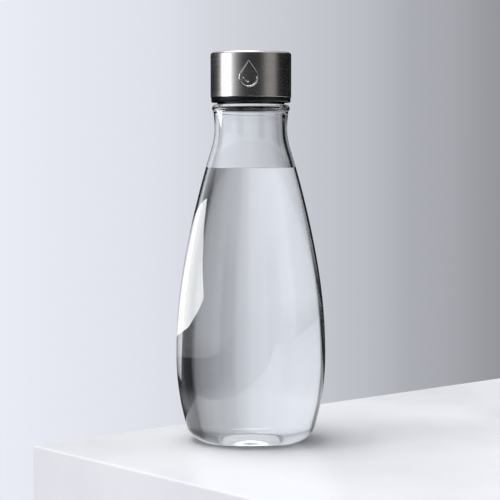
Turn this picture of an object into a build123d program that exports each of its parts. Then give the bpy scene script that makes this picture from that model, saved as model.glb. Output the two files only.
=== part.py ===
from build123d import *

# Glass water bottle with a screw cap: a threaded glass body, and a steel shell over a plastic cap insert.
# Millimetres, +Z up, origin on the table at the bottle's axis, with the drop mark on the -Y side.

import os
from math import acos, asin, atan, atan2, cos, degrees, radians, sin

# ---- Glass body ----
body_radius = 41.9  # at the widest circle
belly_height = 47.8  # height of the widest circle
neck_radius = 20.25  # at the waist, the neck's narrowest circle
waist_height = 175.4
wall = 2.5
belly_turn_share = 1.01  # slope where the belly arc ends, over the mean slope from belly to waist
shoulder_turn_share = 1.79  # slope where the shoulder arc ends, over the same mean slope
neck_arc = 38.0  # radius of the hollow curve below the waist
neck_flare_arc = 60.0  # radius of the hollow curve above the waist

# ---- Glass foot ----
foot_inset = 16.4  # from the widest circle in to the bearing ring's outer edge
foot_width = 1.8  # width of the flat bearing ring
heel_radius = 11.0
push_up = 5.0  # rise of the underside at the axis
floor_height = 3.4  # inside floor above the table, over the bearing ring
floor_crown = 4.6  # further rise of the inside floor at the axis
inner_heel_radius = 9.0

# ---- Glass finish: the bead, the threaded ring and the lip ----
bead_rise = 9.4  # from the waist up to the bead's underside
bead_height = 3.5
bead_overhang = 2.95  # from the threaded ring out to the bead's edge
bead_top_round = 2.0
bead_bottom_round = 1.2
finish_inset = 1.55  # from the waist in to the threaded ring
finish_height = 18.2  # from the bead's top to the lip
finish_wall = 2.7
throat_rise = 5.5  # height over which the inside narrows to the bore, from the bead's underside
lip_round = 0.9

# ---- Thread: two starts ----
thread_starts = 2
thread_lead = 8.0
thread_depth = 1.35
thread_width = 2.1  # at the root of the glass thread
thread_crest = 0.9
thread_turns = 0.78
thread_base_height = 6.5  # from the bead's top to the middle line of each thread's low end
cap_thread_width = 1.35
cap_thread_crest = 0.6
cap_thread_turns = 0.7
thread_clearance = 0.4  # radial, between either thread's crest and the other part's wall
root_overlap = 0.25  # how far a thread's foot reaches into the wall that carries it

# ---- Cap insert ----
rim_gap = 1.25  # from the glass bead up to the insert's rim
rim_height = 2.7  # the black band that shows below the steel
rim_round = 0.7
rim_step = 0.35  # how far the rim stays inside the steel shell's outside
insert_wall = 1.45
ceiling_thickness = 1.8
rib_height = 5.7
rib_thickness = 1.2
rib_count = 8
rib_ring_radius = 9.0
insert_edge_round = 1.2
spigot_wall = 1.2
spigot_drop = 0.4  # below the lip's plane

# ---- Seal ----
seal_thickness = 2.0
seal_bite = 0.9  # how far the seal reaches past the lip's inner edge
seal_clearance = 0.35  # between the seal and the insert's curved walls
seal_gap = 0.05  # between the seal and the flat faces above and below it
seal_catch = 0.55  # overhang of the bead that keeps the seal in the insert
catch_height = 1.0
catch_gap = 0.15  # below the seal

# ---- Steel shell and the pad that bonds it ----
shell_wall = 0.5
shell_edge_round = 1.5
shell_hem_round = 0.2
glue_gap = 0.1
pad_thickness = 0.6
pad_margin = 1.6  # from the insert's outside in to the pad's edge

# ---- Drop mark, raised on the shell ----
mark_height = 15.0
mark_bulb_radius = 5.4
mark_line = 0.85
mark_relief = 0.3
mark_turn = -3.3  # degrees round from the -Y side
mark_glint_radius = 3.1

# ---- Sizes that follow ----
foot_radius = body_radius - foot_inset
finish_radius = neck_radius - finish_inset
bore_radius = finish_radius - finish_wall
bead_bottom = waist_height + bead_rise
bead_top = bead_bottom + bead_height
bead_radius = finish_radius + bead_overhang
lip_height = bead_top + finish_height
thread_radius = finish_radius + thread_depth
thread_start = bead_top + thread_base_height
insert_bore = thread_radius + thread_clearance
insert_radius = insert_bore + insert_wall
cap_thread_radius = finish_radius + thread_clearance
shell_bore = insert_radius + glue_gap
shell_radius = shell_bore + shell_wall
rim_radius = shell_radius - rim_step
rim_bottom = bead_top + rim_gap
rim_top = rim_bottom + rim_height
seal_bottom = lip_height + seal_gap
seal_top = seal_bottom + seal_thickness
ceiling_bottom = seal_top + seal_gap
ceiling_top = ceiling_bottom + ceiling_thickness
insert_top = ceiling_top + rib_height
shell_ceiling = insert_top + pad_thickness
shell_top = shell_ceiling + shell_wall
seal_inner = bore_radius - seal_bite
seal_outer = insert_bore - seal_clearance
catch_radius = seal_outer - seal_catch
spigot_radius = seal_inner - seal_clearance


def arc_run(start, heading, bends):
    """Arcs that each begin along the one before. A bend is (radius, turn in degrees), left turns positive."""
    arcs = []
    for radius, turn in bends:
        arc = JernArc(start=start, tangent=heading, radius=radius, arc_size=turn)
        arcs.append(arc)
        start, heading = arc @ 1, arc % 1
    return arcs


def ease(run, rise):
    """The two bends of an S that starts and ends along its run, and moves rise to its left."""
    turn = 2 * degrees(atan(rise / run))
    radius = run / (2 * sin(radians(abs(turn))))
    return [(radius, turn), (radius, -turn)]


def revolved(edges):
    """A solid of revolution from edges drawn as (radius, height)."""
    return revolve(Plane.XZ * make_face(edges), Axis.Z)


def ring(inner, outer, bottom, top):
    """A plain ring, or a disc where inner is 0."""
    upright = (Align.CENTER, Align.CENTER, Align.MIN)
    solid = Cylinder(outer, top - bottom, align=upright)
    if inner > 0:
        solid -= Cylinder(inner, top - bottom, align=upright)
    return Pos(0, 0, bottom) * solid


def lower_belly():
    """Radius and turn of the arc from the heel to the widest circle. The heel leaves the foot level."""
    level = belly_height - heel_radius
    radius = (foot_inset**2 + level**2 - heel_radius**2) / (2 * (foot_inset - heel_radius))
    return radius, degrees(asin(level / (radius - heel_radius)))


def upper_belly():
    """Radii and end slopes of the belly and shoulder arcs, from the widest circle over to the waist."""
    slope = atan2(body_radius - neck_radius, waist_height - belly_height)
    a, b = belly_turn_share * slope, shoulder_turn_share * slope
    rise = waist_height - belly_height - neck_arc * sin(b)
    fall = body_radius - neck_radius - neck_arc * (1 - cos(b))
    up_a, up_b = sin(a), sin(b) - sin(a)
    in_a, in_b = 1 - cos(a), cos(a) - cos(b)
    area = up_a * in_b - up_b * in_a
    belly = (rise * in_b - fall * up_b) / area
    shoulder = (up_a * fall - in_a * rise) / area
    return belly, degrees(a), shoulder, degrees(b)


def glass_profile():
    """Half section of the glass without bead and threads, from the underside round to the axis."""
    low_radius, low_turn = lower_belly()
    belly, belly_slope, shoulder, shoulder_slope = upper_belly()
    foot_inner = foot_radius - foot_width
    flare_turn = degrees(asin((bead_rise + bead_height / 2) / neck_flare_arc))

    underside = arc_run((0, push_up), (1, 0), ease(foot_inner, -push_up))
    bearing = Line((foot_inner, 0), (foot_radius, 0))
    outside = arc_run(
        (foot_radius, 0),
        (1, 0),
        [
            (heel_radius, 90 - low_turn),
            (low_radius, low_turn),
            (belly, belly_slope),
            (shoulder, shoulder_slope - belly_slope),
            (neck_arc, -shoulder_slope),
            (neck_flare_arc, -flare_turn),
        ],
    )
    neck_end = outside[-1] @ 1
    inset = finish_radius - lip_round
    finish = Polyline(neck_end, (finish_radius, neck_end.Y), (finish_radius, lip_height - lip_round))
    lip_out = arc_run((finish_radius, lip_height - lip_round), (0, 1), [(lip_round, 90)])
    lip_flat = Line((inset, lip_height), (bore_radius + lip_round, lip_height))
    lip_in = arc_run((bore_radius + lip_round, lip_height), (-1, 0), [(lip_round, 90)])

    throat_top = bead_bottom + throat_rise
    waist_inner = neck_radius - wall
    bore = Line((bore_radius, lip_height - lip_round), (bore_radius, throat_top))
    throat = arc_run((bore_radius, throat_top), (0, -1), ease(throat_rise, waist_inner - bore_radius))
    neck_inside = Line((waist_inner, bead_bottom), (waist_inner, waist_height))
    floor_belly = low_radius - wall
    heel_level = belly_height - floor_height - inner_heel_radius
    floor_turn = degrees(asin(heel_level / (floor_belly - inner_heel_radius)))
    inside = arc_run(
        (waist_inner, waist_height),
        (0, -1),
        [
            (neck_arc + wall, shoulder_slope),
            (shoulder - wall, belly_slope - shoulder_slope),
            (belly - wall, -belly_slope),
            (floor_belly, -floor_turn),
            (inner_heel_radius, floor_turn - 90),
        ],
    )
    floor_edge = inside[-1] @ 1
    floor = arc_run(floor_edge, (-1, 0), ease(floor_edge.X, -floor_crown))
    axis = Line((0, floor_height + floor_crown), (0, push_up))
    return [
        *underside, bearing, *outside, finish, *lip_out, lip_flat, *lip_in,
        bore, *throat, neck_inside, *inside, *floor, axis,
    ]


def transfer_bead():
    """The rounded bead below the thread, as a ring that the neck runs up into."""
    inner = (bore_radius + finish_radius) / 2
    section = make_face(
        Polyline(
            (inner, bead_bottom), (bead_radius, bead_bottom), (bead_radius, bead_top), (inner, bead_top),
            close=True,
        )
    )
    outer = section.vertices().sort_by(Axis.X)[-2:].sort_by(Axis.Y)
    section = fillet(outer[0], bead_bottom_round)
    section = fillet(section.vertices().group_by(Axis.X)[-1].sort_by(Axis.Y)[-1], bead_top_round)
    return revolve(Plane.XZ * section, Axis.Z)


def thread_ridge(wall_radius, depth, width, crest, turns, angle):
    """A helical ridge of trapezoid section on a wall. A negative depth points it at the axis."""
    foot = wall_radius - (root_overlap if depth > 0 else -root_overlap)
    section = Polyline(
        (foot, -width / 2), (wall_radius, -width / 2), (wall_radius + depth, -crest / 2),
        (wall_radius + depth, crest / 2), (wall_radius, width / 2), (foot, width / 2),
        close=True,
    )
    path = Helix(pitch=thread_lead, height=turns * thread_lead, radius=wall_radius)
    ridge = sweep(Plane.XZ * make_face(section), path=path, is_frenet=True)
    return Pos(0, 0, thread_start) * Rot(0, 0, angle) * ridge


def glass_thread(angle):
    """One start of the glass thread. A flat at each end lets the ridge sink into the finish."""
    ridge = thread_ridge(finish_radius, thread_depth, thread_width, thread_crest, thread_turns, angle)
    outward = (Align.MIN, Align.CENTER, Align.CENTER)
    flat = Box(2 * thread_depth, finish_radius, 2 * thread_width, align=outward)
    flat = Pos(finish_radius, 0, thread_start) * flat
    for turns in (0, thread_turns):
        ridge -= Pos(0, 0, turns * thread_lead) * Rot(0, 0, angle + 360 * turns) * flat
    return ridge


def glass_bottle():
    body = revolved(glass_profile()) + transfer_bead()
    for start in range(thread_starts):
        body += glass_thread(360 / thread_starts * start)
    return body


def skirt():
    """The insert's wall, with the rim that shows below the steel shell."""
    wall_ring = ring(insert_bore, insert_radius, rim_bottom, ceiling_top)
    rim = ring(insert_bore, rim_radius, rim_bottom, rim_top)
    rim = fillet(rim.edges().group_by(Axis.Z)[0].sort_by(SortBy.RADIUS)[-1], rim_round)
    return wall_ring + rim


def seal_catch_bead():
    """A low bead inside the skirt, just below the seal, that keeps the seal in the cap."""
    top = seal_bottom - catch_gap
    section = Polyline(
        (insert_bore + root_overlap, top), (catch_radius + seal_catch / 2, top),
        (catch_radius, top - catch_height / 2), (insert_bore, top - catch_height),
        (insert_bore + root_overlap, top - catch_height),
        close=True,
    )
    return revolve(Plane.XZ * make_face(section), Axis.Z)


def ceiling_ribs():
    """A collar and radial ribs that stand on the ceiling and carry the bond pad."""
    collar = ring(rib_ring_radius, rib_ring_radius + rib_thickness, ceiling_top - root_overlap, insert_top)
    edge = ring(insert_radius - insert_wall, insert_radius, ceiling_top - root_overlap, insert_top)
    ribs = collar + edge
    for index in range(rib_count):
        span = insert_radius - rib_ring_radius - rib_thickness
        height = rib_height + root_overlap
        rib = Box(span, rib_thickness, height, align=(Align.MIN, Align.CENTER, Align.MIN))
        rib = Pos(rib_ring_radius + rib_thickness / 2, 0, ceiling_top - root_overlap) * rib
        ribs += Rot(0, 0, 360 / rib_count * index) * rib
    return ribs


def cap_insert():
    """The plastic cap: skirt, ceiling, spigot that centres the seal, thread and ribs."""
    insert = skirt() + ring(0, insert_radius, ceiling_bottom, ceiling_top)
    insert += ring(spigot_radius - spigot_wall, spigot_radius, lip_height - spigot_drop, ceiling_bottom)
    insert += seal_catch_bead() + ceiling_ribs()
    depth = cap_thread_radius - insert_bore
    size = (depth, cap_thread_width, cap_thread_crest, cap_thread_turns)
    for start in range(thread_starts):
        angle = 360 / thread_starts * (start + 0.5)
        insert += thread_ridge(insert_bore, *size, angle)
    top_edges = insert.edges().filter_by(GeomType.CIRCLE).group_by(Axis.Z)[-1]
    return fillet(top_edges.sort_by(SortBy.RADIUS)[-1], insert_edge_round)


def cap_seal():
    """The silicone ring that the cap presses on the lip."""
    return ring(seal_inner, seal_outer, seal_bottom, seal_top)


def bond_pad():
    """The adhesive disc between the ribs and the shell."""
    return ring(0, insert_radius - pad_margin, insert_top, shell_ceiling)


def drop_outline(bulb, height):
    """A flat drop: a round bulb at the origin, with straight sides that meet at a point above it."""
    point = height - bulb
    spread = acos(bulb / point)
    side = (bulb * sin(spread), bulb * cos(spread))
    sides = make_face(Polyline((0, 0), side, (0, point), (-side[0], side[1]), close=True))
    return Circle(bulb) + sides


def drop_mark():
    """The relief on the shell: a drop's outline, with a short bright stroke inside it."""
    drop = drop_outline(mark_bulb_radius, mark_height)
    line = drop - offset(drop, amount=-mark_line, kind=Kind.INTERSECTION)
    glint = Circle(mark_glint_radius) - Circle(mark_glint_radius - mark_line)
    quarter = Rectangle(mark_glint_radius, mark_glint_radius)
    glint &= Pos(-mark_glint_radius / 2, -mark_glint_radius / 2) * quarter
    middle = (rim_top + shell_top) / 2 - (mark_height / 2 - mark_bulb_radius)
    band = ring(shell_radius - shell_wall / 2, shell_radius + mark_relief, rim_top, shell_top)
    cutter = extrude(Pos(0, 0, middle) * (Plane.XZ * (line + glint)), shell_radius * 2)
    return Rot(0, 0, mark_turn) * (cutter & band)


def cap_shell():
    """The drawn steel shell: a cup upside down, rounded at its top edge and hemmed at its mouth."""
    outer = ring(0, shell_radius, rim_top, shell_top)
    outer = fillet(outer.edges().group_by(Axis.Z)[-1], shell_edge_round)
    inner = ring(0, shell_bore, rim_top, shell_ceiling)
    inner = fillet(inner.edges().group_by(Axis.Z)[-1], shell_edge_round - shell_wall)
    shell = outer - inner
    mouth = shell.edges().filter_by(GeomType.CIRCLE).group_by(Axis.Z)[0]
    shell = fillet(mouth, shell_hem_round)
    return shell + drop_mark()


PARTS = {
    "glass_bottle": glass_bottle,
    "cap_insert": cap_insert,
    "cap_seal": cap_seal,
    "bond_pad": bond_pad,
    "cap_shell": cap_shell,
}

os.makedirs("parts", exist_ok=True)
for node, make in PARTS.items():
    export_step(make(), f"parts/{node}.step")
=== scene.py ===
import math

import bmesh
import bpy
from mathutils import Matrix, Vector


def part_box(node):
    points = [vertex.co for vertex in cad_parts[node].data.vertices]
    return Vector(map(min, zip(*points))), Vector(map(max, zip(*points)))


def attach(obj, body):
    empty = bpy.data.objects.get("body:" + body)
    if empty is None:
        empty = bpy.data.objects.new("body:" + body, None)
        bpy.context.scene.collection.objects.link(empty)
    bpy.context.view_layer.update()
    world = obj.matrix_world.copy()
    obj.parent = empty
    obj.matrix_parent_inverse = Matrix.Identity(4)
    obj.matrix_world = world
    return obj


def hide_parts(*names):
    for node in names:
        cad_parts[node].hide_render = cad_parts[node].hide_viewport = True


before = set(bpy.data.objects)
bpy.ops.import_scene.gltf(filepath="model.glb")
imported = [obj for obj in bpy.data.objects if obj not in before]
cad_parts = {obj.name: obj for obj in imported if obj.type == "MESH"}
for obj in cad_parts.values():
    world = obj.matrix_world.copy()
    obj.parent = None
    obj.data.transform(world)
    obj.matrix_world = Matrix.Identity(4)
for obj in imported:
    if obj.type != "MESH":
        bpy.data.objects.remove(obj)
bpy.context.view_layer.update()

# A clear glass bottle of water with a steel-clad screw cap, on a pale slab in a soft studio.
# Lengths are metres. MM turns the millimetres of the bottle's own drawing into metres.
MM = 0.001
ROUND_STEPS = 192  # faces round the bottle
SHARP_TURN = math.radians(32)  # edges that turn more than this stay sharp
QUARTER = math.pi / 2

# ---- Bottle and cap, where the frame says ----
bottle_low, bottle_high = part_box("glass_bottle")
shell_low, shell_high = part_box("cap_shell")
insert_low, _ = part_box("cap_insert")
lip_height = bottle_high.z
body_radius = (bottle_high.x - bottle_low.x) / 2
shell_radius = (shell_high.x - shell_low.x) / 2

# ---- Glass body ----
neck_radius = 20.25 * MM  # at the waist, the neck's narrowest circle
waist_height = 175.4 * MM
belly_height = 47.8 * MM  # height of the widest circle
wall = 2.5 * MM
belly_turn_share = 1.01  # slope where the belly arc ends, over the mean slope from belly to waist
shoulder_turn_share = 1.79  # slope where the shoulder arc ends, over the same mean slope
neck_arc = 38.0 * MM  # radius of the hollow curve below the waist
neck_flare_arc = 60.0 * MM  # radius of the hollow curve above the waist

# ---- Glass foot ----
foot_inset = 16.4 * MM  # from the widest circle in to the bearing ring's outer edge
foot_width = 1.8 * MM
heel_radius = 11.0 * MM
push_up = 5.0 * MM  # rise of the underside at the axis
floor_height = 3.4 * MM  # the inside floor's edge above the bearing ring
floor_crown = 4.6 * MM  # further rise of the inside floor at the axis
inner_heel_radius = 9.0 * MM

# ---- Glass finish: the bead, the threaded ring and the lip ----
rim_gap = 1.25 * MM  # from the bead up to the cap insert's rim
bead_height = 3.5 * MM
bead_overhang = 2.95 * MM  # from the threaded ring out to the bead's edge
bead_top_round = 2.0 * MM
bead_bottom_round = 1.2 * MM
finish_inset = 1.55 * MM  # from the waist in to the threaded ring
finish_wall = 2.7 * MM
throat_rise = 5.5 * MM  # height over which the inside narrows to the bore, from the bead's underside
lip_round = 0.9 * MM
root_round = 0.3 * MM  # fillet between the bead's top and the threaded ring
bead_top = insert_low.z - rim_gap
bead_bottom = bead_top - bead_height
finish_radius = neck_radius - finish_inset
bore_radius = finish_radius - finish_wall
bead_radius = finish_radius + bead_overhang
waist_inner = neck_radius - wall

# ---- Glass thread: two starts ----
thread_starts = (0, math.pi)
thread_lead = 8.0 * MM
thread_start = bead_top + 6.5 * MM  # middle of each thread at its lower end
thread_depth = 1.35 * MM
thread_half_width = 1.05 * MM
thread_half_crest = 0.4 * MM
thread_turns = 0.78  # how far round each thread runs
thread_fade = math.radians(20)  # turn over which each end of a thread rises out of the glass

# ---- Spacing of points ----
arc_step = 1.1 * MM  # along the body's arcs
arc_turn = math.radians(3)  # the most that one step of an arc turns
bead_step = 0.25 * MM  # along small arcs
thread_steps = 70  # up the threaded ring
plain_steps = 12  # along a plain straight stretch, and up the meniscus
neck_steps = 6  # down the straight inside of the neck
same_point = 0.01 * MM  # points of a line nearer than this are one
weld = 0.002 * MM  # corners of a piece nearer than this are one
on_ring = 0.05 * MM  # a point this near the threaded ring's radius lies on it

# ---- Steel shell ----
shell_wall = 0.5 * MM
shell_edge_round = 1.5 * MM
shell_hem_round = 0.2 * MM

# ---- Drop mark ----
mark_height = 15.0 * MM
mark_bulb_radius = 5.4 * MM
mark_line = 0.85 * MM
mark_relief = 0.3 * MM
mark_turn = math.radians(-3.3)
mark_glint_radius = 3.1 * MM

# ---- Water ----
water_level = 152.8 * MM
water_into_glass = 0.12 * MM
meniscus_height = 0.8 * MM
meniscus_width = 1.6 * MM
meniscus_power = 2.6  # how late the surface turns up towards the glass

# ---- Slab ----
slab_size = (1.8, 1.2, 0.3)
slab_corner = (-0.121, -0.018, 0)
slab_turn = math.radians(41.4)
slab_edge = 1.2 * MM
slab_gap = 0.05 * MM  # below the bottle's foot

# ---- Lights ----
window_place = (-1.5, -0.42, 0.36)
window_aim = (0, 0, 0.19)
window_size = (0.7, 0.5)
window_power = 4.6
overhead_place = (-0.35, 0.1, 1.5)
overhead_aim = (0, 0, 0)
overhead_size = (1.3, 1.1)
overhead_power = 17

# ---- Edge card ----
card_near = Vector((-0.226, -0.061))
card_far = Vector((-0.075, 0.33))
# Shares are of the way from the near end to the far one.
card_outline = [(0, 0.1), (0.28, 0.179), (1, 0.1), (1, 0.02), (0.27, 0.058), (0.1, 0.079)]  # (share, height)
card_fade = [(0.25, 0.80), (0.5, 0.34), (0.75, 0.10)]  # (share, part of card_glow that is left)
card_far_glow = 0.04
card_glow = 11.0
card_colour = (0.97, 0.985, 1, 1)

# ---- Room: brightness by bearing, in degrees to the right of straight behind the bottle ----
room_colour = (0.965, 0.985, 1.075)
warmth = (0.07, 0.07 / 3, -0.07)
backdrop_levels = [
    (-180, 0.62), (-60, 0.80), (-10, 0.86), (-5, 0.80), (-3, 0.75), (0, 0.64), (3, 0.56), (6, 0.42),
    (10, 0.28), (30, 0.34), (90, 0.60), (180, 0.62),
]
through_levels = [
    (-180, 0.62), (-156, 0.64), (-150, 0.01), (-132, 0.01), (-126, 0.66), (-90, 0.75), (-74, 0.78),
    (-68, 0.008), (-50, 0.008), (-43, 0.80), (-20, 0.81), (-7, 0.75), (-1, 0.69), (3, 0.56), (7, 0.43),
    (12, 0.36), (19, 0.27), (25, 0.19), (29, 0.008), (98, 0.008), (106, 0.60), (126, 0.60), (132, 0.01),
    (150, 0.01), (156, 0.60), (180, 0.62),
]
mirrored_levels = [
    (-180, 0.04), (-158, 0.05), (-140, 0.25), (-130, 0.8), (-90, 0.8), (-80, 0.02), (-30, 0.01), (4, 0.01),
    (40, 0.005), (98, 0.005), (110, 0.42), (134, 0.42), (148, 0.05), (180, 0.04),
]
warm_bearings = (110, 134)
# Far above and far below, the room is plain. Plain and ramp blend between two heights of a unit direction.
through_ends = (0.80, 0.82, 0.88, 1)
through_low, through_high = (-0.36, -0.24), (0.24, 0.36)
mirrored_floor, mirrored_ceiling = (0.02, 0.02, 0.02, 1), (0.9, 0.9, 0.93, 1)
mirrored_low, mirrored_high = (-0.10, -0.04), (0.35, 0.75)

# ---- Camera ----
camera_place = (-0.0005, -0.9, 0.162)
camera_turn = math.radians(90 - 3.49)  # a right angle is level, less tips it down
camera_lens = 115.7
camera_sensor = 36


def bend_line(start, heading, bends, spacing=arc_step):
    """Points (radius, height) along arcs that each begin along the one before. A bend is (radius, turn)."""
    points = [Vector(start)]
    way = Vector(heading).normalized()
    for radius, turn in bends:
        steps = max(2, math.ceil(max(abs(turn) * radius / spacing, abs(turn) / arc_turn)))
        side = Vector((-way.y, way.x)) * math.copysign(radius, turn)
        centre = points[-1] + side
        for step in range(1, steps + 1):
            points.append(centre + Matrix.Rotation(turn * step / steps, 2) @ -side)
        way = Matrix.Rotation(turn, 2) @ way
    return points


def ease(run, rise):
    """The two bends of an S that starts and ends along its run, and moves rise to its left."""
    turn = 2 * math.atan(rise / run)
    radius = run / (2 * math.sin(abs(turn)))
    return [(radius, turn), (radius, -turn)]


def straight(start, end, count=plain_steps):
    """Points after start, evenly spaced up to end."""
    start, end = Vector(start), Vector(end)
    return [start.lerp(end, step / count) for step in range(1, count + 1)]


def side_arcs():
    """The arcs of the bottle's side, one below the widest circle and two above it, and their slopes."""
    level = belly_height - heel_radius
    low = (foot_inset**2 + level**2 - heel_radius**2) / (2 * (foot_inset - heel_radius))
    low_turn = math.asin(level / (low - heel_radius))
    slope = math.atan2(body_radius - neck_radius, waist_height - belly_height)
    a, b = belly_turn_share * slope, shoulder_turn_share * slope
    rise = waist_height - belly_height - neck_arc * math.sin(b)
    fall = body_radius - neck_radius - neck_arc * (1 - math.cos(b))
    up_a, up_b = math.sin(a), math.sin(b) - math.sin(a)
    in_a, in_b = 1 - math.cos(a), math.cos(a) - math.cos(b)
    area = up_a * in_b - up_b * in_a
    return low, low_turn, (rise * in_b - fall * up_b) / area, a, (up_a * fall - in_a * rise) / area, b


def outer_line():
    """The glass outside, from the axis under the push-up to the neck's flare behind the bead."""
    low, low_turn, belly, a, shoulder, b = side_arcs()
    foot_radius = body_radius - foot_inset
    flare_turn = math.asin((bead_bottom + bead_height / 2 - waist_height) / neck_flare_arc)
    underside = bend_line((0, push_up), (1, 0), ease(foot_radius - foot_width, -push_up))
    side = bend_line(
        (foot_radius, 0),
        (1, 0),
        [(heel_radius, QUARTER - low_turn), (low, low_turn), (belly, a), (shoulder, b - a),
         (neck_arc, -b), (neck_flare_arc, -flare_turn)],
    )
    return underside + side


def with_bead(outer):
    """The outside again, with the rounded bead on it from where it stands out of the neck's flare."""
    centre = neck_radius + neck_flare_arc
    low_start = (bead_radius - bead_bottom_round, bead_bottom)
    low_arc = bend_line(low_start, (1, 0), [(bead_bottom_round, QUARTER)], bead_step)
    bead = [p for p in low_arc if p.x > centre - math.sqrt(neck_flare_arc**2 - (p.y - waist_height) ** 2)]
    top_start = (bead_radius, bead_top - bead_top_round)
    bead += bend_line(top_start, (0, 1), [(bead_top_round, QUARTER)], bead_step)
    return [p for p in outer if p.y < bead[0].y] + bead


def finish_line():
    """The threaded ring, the lip, the bore, the throat and the neck's inside, down to the waist."""
    line = bend_line((finish_radius + root_round, bead_top), (-1, 0), [(root_round, -QUARTER)])
    line += straight(line[-1], (finish_radius, lip_height - lip_round), thread_steps)
    line += bend_line(line[-1], (0, 1), [(lip_round, QUARTER)])[1:]
    line += bend_line((bore_radius + lip_round, lip_height), (-1, 0), [(lip_round, QUARTER)])
    line += straight(line[-1], (bore_radius, bead_bottom + throat_rise))
    line += bend_line(line[-1], (0, -1), ease(throat_rise, waist_inner - bore_radius), bead_step)[1:]
    return line + straight(line[-1], (waist_inner, waist_height), neck_steps)


def inner_line():
    """The glass inside from the waist down the shoulder and belly to the floor's edge."""
    low, _, belly, a, shoulder, b = side_arcs()
    heel_level = belly_height - floor_height - inner_heel_radius
    floor_turn = math.asin(heel_level / (low - wall - inner_heel_radius))
    return bend_line(
        (waist_inner, waist_height),
        (0, -1),
        [(neck_arc + wall, b), (shoulder - wall, a - b), (belly - wall, -a), (low - wall, -floor_turn),
         (inner_heel_radius, floor_turn - QUARTER)],
    )


def floor_line(edge):
    """The crowned inside floor, from its edge in to the axis."""
    return bend_line(edge, (-1, 0), ease(edge.x, -floor_crown))[1:]


def spun(name, line, material):
    """A solid of revolution about the bottle's axis, from a line of (radius, height) points."""
    bm = bmesh.new()
    clean = [line[0]]
    for point in line[1:]:
        if (point - clean[-1]).length > same_point:
            clean.append(point)
    verts = [bm.verts.new((max(0, point.x), 0, point.y)) for point in clean]
    edges = [bm.edges.new(pair) for pair in zip(verts, verts[1:])]
    bmesh.ops.spin(
        bm, geom=verts + edges, cent=(0, 0, 0), axis=(0, 0, 1), dvec=(0, 0, 0),
        angle=2 * math.pi, steps=ROUND_STEPS, use_merge=True,
    )
    bmesh.ops.remove_doubles(bm, verts=bm.verts, dist=weld)
    bmesh.ops.recalc_face_normals(bm, faces=bm.faces)
    return finished(name, bm, material)


def finished(name, bm, material):
    """A smooth shaded object from bm, with its sharp corners kept."""
    for face in bm.faces:
        face.smooth = True
    for edge in bm.edges:
        edge.smooth = edge.calc_face_angle(0) < SHARP_TURN
    mesh = bpy.data.meshes.new(name)
    bm.to_mesh(mesh)
    bm.free()
    piece = bpy.data.objects.new(name, mesh)
    bpy.context.scene.collection.objects.link(piece)
    mesh.materials.append(material)
    return piece


def ridge_height(angle, height):
    """How far the thread stands out at an angle and a height on the ring, from 0 to 1."""
    tallest = 0
    for start in thread_starts:
        for lap in (0, 1):
            turned = angle - start + 2 * math.pi * lap
            middle = thread_start + thread_lead * turned / (2 * math.pi)
            off = abs(height - middle)
            end = min(turned, 2 * math.pi * thread_turns - turned) / thread_fade
            if end <= 0 or off >= thread_half_width:
                continue
            flank = min(1, (thread_half_width - off) / (thread_half_width - thread_half_crest))
            rounded = flank * flank * (3 - 2 * flank)
            tallest = max(tallest, rounded * min(1, end) ** 0.5)
    return tallest


def raise_thread(piece):
    """Moves the threaded ring's wall out into two helical ridges that die away at each end."""
    for vert in piece.data.vertices:
        radius = math.hypot(vert.co.x, vert.co.y)
        if abs(radius - finish_radius) > on_ring or vert.co.z < bead_top:
            continue
        angle = math.atan2(vert.co.y, vert.co.x) % (2 * math.pi)
        scale = (radius + thread_depth * ridge_height(angle, vert.co.z)) / radius
        vert.co.x *= scale
        vert.co.y *= scale


# ---- Materials ----


class Nodes:
    """Short ways to add shader nodes to a tree."""

    def __init__(self, tree):
        self.tree = tree

    def node(self, kind, inputs=None, **settings):
        """A new node. An input is a value, or another node's output to link."""
        made = self.tree.nodes.new(kind)
        for key, value in settings.items():
            setattr(made, key, value)
        for key, value in (inputs or {}).items():
            if isinstance(value, bpy.types.NodeSocket):
                self.tree.links.new(value, made.inputs[key])
            else:
                made.inputs[key].default_value = value
        return made

    def span(self, value, low, high, from_low=0.3, from_high=0.7):
        """Stretches the part of value between from_low and from_high to run from low to high."""
        made = self.node(
            "ShaderNodeMapRange",
            {"Value": value, "From Min": from_low, "From Max": from_high, "To Min": low, "To Max": high},
        )
        return made.outputs["Result"]

    def math(self, operation, a, b):
        """One operation on two numbers."""
        return self.node("ShaderNodeMath", {0: a, 1: b}, operation=operation).outputs[0]

    def tint(self, value, low, high):
        """A colour from low to high."""
        made = self.node("ShaderNodeMix", {"Factor": value, "A": low, "B": high}, data_type="RGBA")
        return made.outputs["Result"]


class Finish(Nodes):
    """A principled material whose pattern nodes read Object coordinates."""

    def __init__(self, name, **values):
        self.material = bpy.data.materials.new(name)
        self.material.use_nodes = True
        super().__init__(self.material.node_tree)
        self.shader = self.tree.nodes["Principled BSDF"]
        for socket, value in values.items():
            self.shader.inputs[socket.replace("_", " ")].default_value = value
        self.place = self.node("ShaderNodeTexCoord").outputs["Object"]

    def noise(self, scale, stretch=(1, 1, 1), detail=4.0, roughness=0.55):
        """A cloudy pattern, finer along an axis where stretch is larger."""
        moved = self.node("ShaderNodeMapping", {"Vector": self.place, "Scale": stretch})
        made = self.node(
            "ShaderNodeTexNoise",
            {"Vector": moved.outputs[0], "Scale": scale, "Detail": detail, "Roughness": roughness},
        )
        return made.outputs["Fac"]

    def feed(self, socket, value):
        """Links a node's output to a socket of the shader."""
        self.tree.links.new(value, self.shader.inputs[socket])

    def shade(self, pattern, dark, light):
        """Colours the surface from dark to light by a pattern."""
        self.feed("Base Color", self.tint(self.span(pattern, 0, 1), (*dark, 1), (*light, 1)))

    def bump(self, height, strength, distance):
        """Raises the surface by a pattern, in the shading only."""
        made = self.node("ShaderNodeBump", {"Height": height, "Strength": strength, "Distance": distance})
        self.feed("Normal", made.outputs["Normal"])


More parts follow.
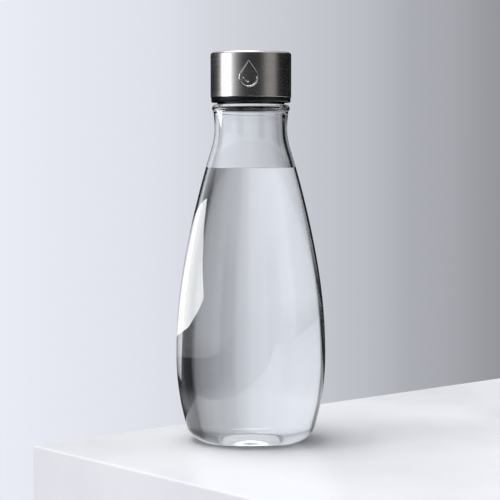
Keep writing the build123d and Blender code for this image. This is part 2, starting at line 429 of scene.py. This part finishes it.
def clear_glass():
    """Soda-lime glass with the slow waves of blown glass and a faint green body colour."""
    finish = Finish("clear_glass", Transmission_Weight=1.0, IOR=1.5, Base_Color=(0.990, 0.998, 0.996, 1))
    finish.bump(finish.noise(34, stretch=(1, 1, 0.45), detail=1.5), 0.10, 0.6 * MM)
    smudge = finish.noise(60, detail=5)
    finish.feed("Roughness", finish.span(smudge, 0.0, 0.012, 0.55, 0.8))
    return finish.material


def still_water():
    """Clean water with the faintest ripple."""
    finish = Finish(
        "still_water", Transmission_Weight=1.0, IOR=1.333, Roughness=0.0, Base_Color=(0.997, 0.999, 1.0, 1),
    )
    finish.bump(finish.noise(22, detail=1), 0.03, 0.4 * MM)
    return finish.material


def brushed_steel():
    """Stainless steel brushed round the cap: fine rings of lighter and darker strokes."""
    finish = Finish("brushed_steel", Metallic=1.0, Anisotropic=0.6)
    around = finish.node("ShaderNodeTangent", direction_type="RADIAL", axis="Z")
    finish.feed("Tangent", around.outputs[0])
    strokes = finish.noise(1.0, stretch=(30, 30, 2600), detail=5, roughness=0.6)
    long_strokes = finish.noise(1.0, stretch=(9, 9, 900), detail=4)
    cloud = finish.noise(70, detail=3)
    finish.shade(long_strokes, (0.53, 0.51, 0.495), (0.59, 0.57, 0.555))
    rough = finish.math("ADD", finish.span(strokes, 0.20, 0.26), finish.span(cloud, 0.0, 0.03))
    finish.feed("Roughness", rough)
    finish.bump(strokes, 0.05, 0.01 * MM)
    return finish.material


def polished_steel():
    """The raised line of the mark, rubbed brighter than the steel round it."""
    finish = Finish("polished_steel", Metallic=1.0)
    rub = finish.noise(900, detail=4)
    finish.shade(rub, (0.66, 0.65, 0.64), (0.78, 0.77, 0.76))
    finish.feed("Roughness", finish.span(rub, 0.10, 0.20))
    finish.bump(rub, 0.05, 0.01 * MM)
    return finish.material


def black_plastic():
    """Moulded black plastic with a fine satin grain."""
    finish = Finish("black_plastic", IOR=1.49)
    grain = finish.noise(2600, detail=3)
    finish.shade(finish.noise(90, detail=3), (0.0025, 0.0025, 0.003), (0.005, 0.005, 0.0055))
    finish.feed("Roughness", finish.span(grain, 0.24, 0.36))
    finish.bump(grain, 0.08, 0.02 * MM)
    return finish.material


def silicone():
    """Milky silicone with a dusty bloom."""
    finish = Finish("silicone", Subsurface_Weight=0.15, Subsurface_Scale=1.5 * MM)
    bloom = finish.noise(420, detail=4)
    finish.shade(bloom, (0.74, 0.75, 0.74), (0.84, 0.84, 0.82))
    finish.feed("Roughness", finish.span(bloom, 0.48, 0.66))
    finish.bump(finish.noise(1800, detail=2), 0.06, 0.03 * MM)
    return finish.material


def pad_foam():
    """Closed cell foam tape."""
    finish = Finish("pad_foam")
    cells = finish.node("ShaderNodeTexVoronoi", {"Vector": finish.place, "Scale": 2200}).outputs["Distance"]
    finish.feed("Base Color", finish.tint(cells, (0.60, 0.58, 0.52, 1), (0.78, 0.76, 0.70, 1)))
    finish.feed("Roughness", finish.span(cells, 0.75, 0.95))
    finish.bump(cells, 0.4, 0.05 * MM)
    return finish.material


def pale_stone():
    """The slab under the bottle: white, with the faintest grey clouds and a honed face."""
    finish = Finish("pale_stone")
    cloud = finish.noise(9, detail=6, roughness=0.6)
    finish.shade(cloud, (0.80, 0.80, 0.81), (0.87, 0.87, 0.87))
    finish.feed("Roughness", finish.span(cloud, 0.34, 0.46))
    finish.bump(finish.noise(800, detail=3), 0.04, 0.05 * MM)
    return finish.material


# ---- Pieces ----


def make_bottle(material):
    """The glass, one wall all round: outside, bead, threaded ring, lip, and back down the inside."""
    inside = inner_line()
    line = with_bead(outer_line()) + finish_line() + inside[1:] + floor_line(inside[-1])
    line.append(Vector((0, line[-1].y)))
    piece = spun("bottle_glass", line, material)
    raise_thread(piece)
    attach(piece, "bottle")
    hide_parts("glass_bottle")
    return piece


def make_water(material):
    """The water: flat with a meniscus, and sunk a hair into the glass so that no air shows between them."""
    sink = Vector((0, water_into_glass))
    inside = inner_line()
    into_side = Vector((water_into_glass, 0))
    wet = [point + into_side for point in inside if point.y < water_level + meniscus_height]
    edge = wet[0]
    line = [Vector((0, water_level))]
    line += straight(line[0], (edge.x - meniscus_width, water_level))
    reach, climb = edge.x - line[-1].x, edge.y - water_level
    for step in range(1, plain_steps + 1):
        share = step / plain_steps
        across = edge.x - meniscus_width + reach * share
        line.append(Vector((across, water_level + climb * share**meniscus_power)))
    line += wet[1:-1] + [wet[-1] - sink] + [point - sink for point in floor_line(inside[-1])]
    line.append(Vector((0, line[-1].y)))
    piece = spun("water", line, material)
    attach(piece, "bottle")


def make_shell(material):
    """The drawn steel cup: a round top edge, a straight skirt, and a hem rubbed round at its mouth."""
    inner_round = shell_edge_round - shell_wall
    bore = shell_radius - shell_wall
    line = [Vector((0, shell_high.z))]
    line += straight(line[0], (shell_radius - shell_edge_round, shell_high.z))
    line += bend_line(line[-1], (1, 0), [(shell_edge_round, -QUARTER)], bead_step)[1:]
    line += straight(line[-1], (shell_radius, shell_low.z + shell_hem_round))
    line += bend_line(line[-1], (0, -1), [(shell_hem_round, -QUARTER)], bead_step / 4)[1:]
    line += [Vector((bore, shell_low.z)), Vector((bore, shell_high.z - shell_wall - inner_round))]
    line += bend_line(line[-1], (0, 1), [(inner_round, QUARTER)], bead_step)[1:]
    line.append(Vector((0, shell_high.z - shell_wall)))
    piece = spun("steel_shell", line, material)
    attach(piece, "cap")
    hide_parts("cap_shell")
    return piece


def drop_outline():
    """The drop's middle line, (across, height) from the bulb's centre: round below, pointed above."""
    point = mark_height - mark_bulb_radius
    radius = mark_bulb_radius - mark_line / 2
    spread = math.acos(mark_bulb_radius / point)
    start = Vector((-radius * math.sin(spread), radius * math.cos(spread)))
    heading = Vector((-start.y, start.x))
    bulb = bend_line(start, heading, [(radius, 2 * math.pi - 2 * spread)], bead_step)
    tip = (0, radius / math.cos(spread))
    return bulb[:-1] + straight(-start.reflect((0, 1)), tip)


def make_mark(material):
    """A rounded wire in the shape of a drop, with a short stroke inside it, let into the shell."""
    wire = bpy.data.curves.new("drop_mark", "CURVE")
    wire.dimensions = "3D"
    wire.bevel_depth = mark_line / 2
    wire.bevel_resolution = 3
    wire.use_fill_caps = True
    radius = mark_glint_radius - mark_line / 2
    glint = bend_line((-radius, 0), (0, -1), [(radius, QUARTER)], bead_step)
    for line, closed in ((drop_outline(), True), (glint, False)):
        spline = wire.splines.new("POLY")
        spline.points.add(len(line) - 1)
        for spot, point in zip(spline.points, line):
            spot.co = (point.x, 0, point.y, 1)
        spline.use_cyclic_u = closed
    bm = bmesh.new()
    bm.from_mesh(bpy.data.meshes.new_from_object(bpy.data.objects.new("wire", wire)))
    # The flat wire is wrapped round the shell, and its thickness is pressed down to the relief.
    middle = (shell_low.z + shell_high.z) / 2 - (mark_height / 2 - mark_bulb_radius)
    for vert in bm.verts:
        out = shell_radius - vert.co.y * mark_relief / (mark_line / 2)
        turn = mark_turn + vert.co.x / shell_radius
        vert.co = (out * math.sin(turn), -out * math.cos(turn), middle + vert.co.z)
    bmesh.ops.recalc_face_normals(bm, faces=bm.faces)
    piece = finished("drop_mark", bm, material)
    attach(piece, "cap")
    return piece


def keep_cad(node, material):
    """A CAD node that stays, with its own finish."""
    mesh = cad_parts[node].data
    for index in range(len(mesh.materials)):
        mesh.materials[index] = material


# ---- Studio ----


def make_slab(material):
    """A plain slab under the bottle, turned so that one corner comes out at the bottle's left."""
    length, width, depth = slab_size
    bm = bmesh.new()
    bmesh.ops.create_cube(bm, size=1)
    bmesh.ops.scale(bm, verts=bm.verts, vec=slab_size)
    bmesh.ops.bevel(bm, geom=bm.edges, offset=slab_edge, segments=3, affect="EDGES", profile=0.5, material=-1)
    bmesh.ops.translate(bm, verts=bm.verts, vec=(length / 2, -width / 2, -depth / 2 - slab_gap))
    place = Matrix.Translation(slab_corner) @ Matrix.Rotation(slab_turn, 4, "Z")
    bmesh.ops.transform(bm, matrix=place, verts=bm.verts)
    slab = finished("slab", bm, material)
    return slab


def make_light(name, place, aim, size, power):
    """A rectangular soft light at place that faces aim."""
    data = bpy.data.lights.new(name, "AREA")
    data.shape = "RECTANGLE"
    data.size, data.size_y = size
    data.energy = power
    light = bpy.data.objects.new(name, data)
    bpy.context.scene.collection.objects.link(light)
    light.location = place
    light.rotation_euler = (Vector(aim) - Vector(place)).to_track_quat("-Z", "Y").to_euler()
    return light


def make_card():
    """A bright card on edge, close by at the left, that lights only the glass and fades as it goes back."""
    bm = bmesh.new()
    corners = [bm.verts.new((*card_near.lerp(card_far, share), height)) for share, height in card_outline]
    bmesh.ops.contextual_create(bm, geom=corners)

    finish = Finish("card_glow", Base_Color=(0, 0, 0, 1), Emission_Color=card_colour)
    way = finish.node("ShaderNodeSeparateXYZ", {"Vector": finish.place}).outputs["Y"]
    fade = finish.node("ShaderNodeFloatCurve", {"Value": finish.span(way, 0, 1, card_near.y, card_far.y)})
    curve = fade.mapping.curves[0]
    curve.points[0].location = (0, 1)
    curve.points[1].location = (1, card_far_glow)
    for share, level in card_fade:
        curve.points.new(share, level)
    fade.mapping.update()
    finish.feed("Emission Strength", finish.math("MULTIPLY", fade.outputs[0], card_glow))

    card = finished("edge_card", bm, finish.material)
    card.visible_camera = card.visible_shadow = False
    return card


def light_only(light, *pieces):
    """The light shines on these pieces and on nothing else."""
    lit = bpy.data.collections.new(light.name + "_lights")
    for piece in pieces:
        lit.objects.link(piece)
    light.light_linking.receiver_collection = lit
    light.visible_transmission = False


def ramp_of(room, bearing, levels, warm=()):
    """A soft ramp of brightness over the bearing, in the room's colour, warmer at the warm bearings."""
    ramp = room.node("ShaderNodeValToRGB", {0: bearing})
    ramp.color_ramp.interpolation = "EASE"
    elements = ramp.color_ramp.elements
    while len(elements) < len(levels):
        elements.new(1.0)
    for element, (degrees, _) in zip(elements, levels):
        element.position = (degrees + 180) / 360
    for element, (degrees, level) in zip(elements, levels):
        shift = warmth if degrees in warm else (0, 0, 0)
        element.color = (*(level * (base + more) for base, more in zip(room_colour, shift)), 1)
    return ramp.outputs[0]


def make_room():
    """The room all round, which differs seen directly, mirrored in a piece and through the glass."""
    world = bpy.data.worlds.new("studio")
    bpy.context.scene.world = world
    world.use_nodes = True
    world.node_tree.nodes.clear()
    room = Nodes(world.node_tree)
    way = room.node("ShaderNodeSeparateXYZ", {0: room.node("ShaderNodeTexCoord").outputs["Generated"]})
    height = way.outputs["Z"]
    angle = room.math("ARCTAN2", way.outputs["X"], way.outputs["Y"])
    bearing = room.span(angle, 0, 1, -math.pi, math.pi)

    def over(edges):
        """How far a direction's height is from the lower edge to the upper one, 0 to 1."""
        return room.span(height, 0, 1, *edges)

    through = ramp_of(room, bearing, through_levels)
    through = room.tint(over(through_low), through_ends, through)
    through = room.tint(over(through_high), through, through_ends)
    mirrored = ramp_of(room, bearing, mirrored_levels, warm_bearings)
    mirrored = room.tint(over(mirrored_low), mirrored_floor, mirrored)
    mirrored = room.tint(over(mirrored_high), mirrored, mirrored_ceiling)
    rays = room.node("ShaderNodeLightPath")
    seen = room.tint(rays.outputs["Is Glossy Ray"], ramp_of(room, bearing, backdrop_levels), mirrored)
    seen = room.tint(rays.outputs["Is Transmission Ray"], seen, through)
    glow = room.node("ShaderNodeBackground", {"Color": seen})
    room.node("ShaderNodeOutputWorld", {"Surface": glow.outputs[0]})


def make_camera():
    """Level with the upper neck, a long lens, tipped down to the middle of the bottle."""
    data = bpy.data.cameras.new("camera")
    data.lens = camera_lens
    data.sensor_width = camera_sensor
    camera = bpy.data.objects.new("camera", data)
    bpy.context.scene.collection.objects.link(camera)
    camera.location = camera_place
    camera.rotation_euler = (camera_turn, 0, 0)
    bpy.context.scene.camera = camera
    bpy.context.scene.view_settings.view_transform = "Standard"


steel = brushed_steel()
make_camera()
make_room()
window = make_light("window", window_place, window_aim, window_size, window_power)
make_light("overhead", overhead_place, overhead_aim, overhead_size, overhead_power)
slab = make_slab(pale_stone())
mark = make_mark(polished_steel())
light_only(make_card(), make_bottle(clear_glass()))
light_only(window, slab, mark, make_shell(steel))
make_water(still_water())
keep_cad("cap_insert", black_plastic())
keep_cad("cap_seal", silicone())
keep_cad("bond_pad", pad_foam())
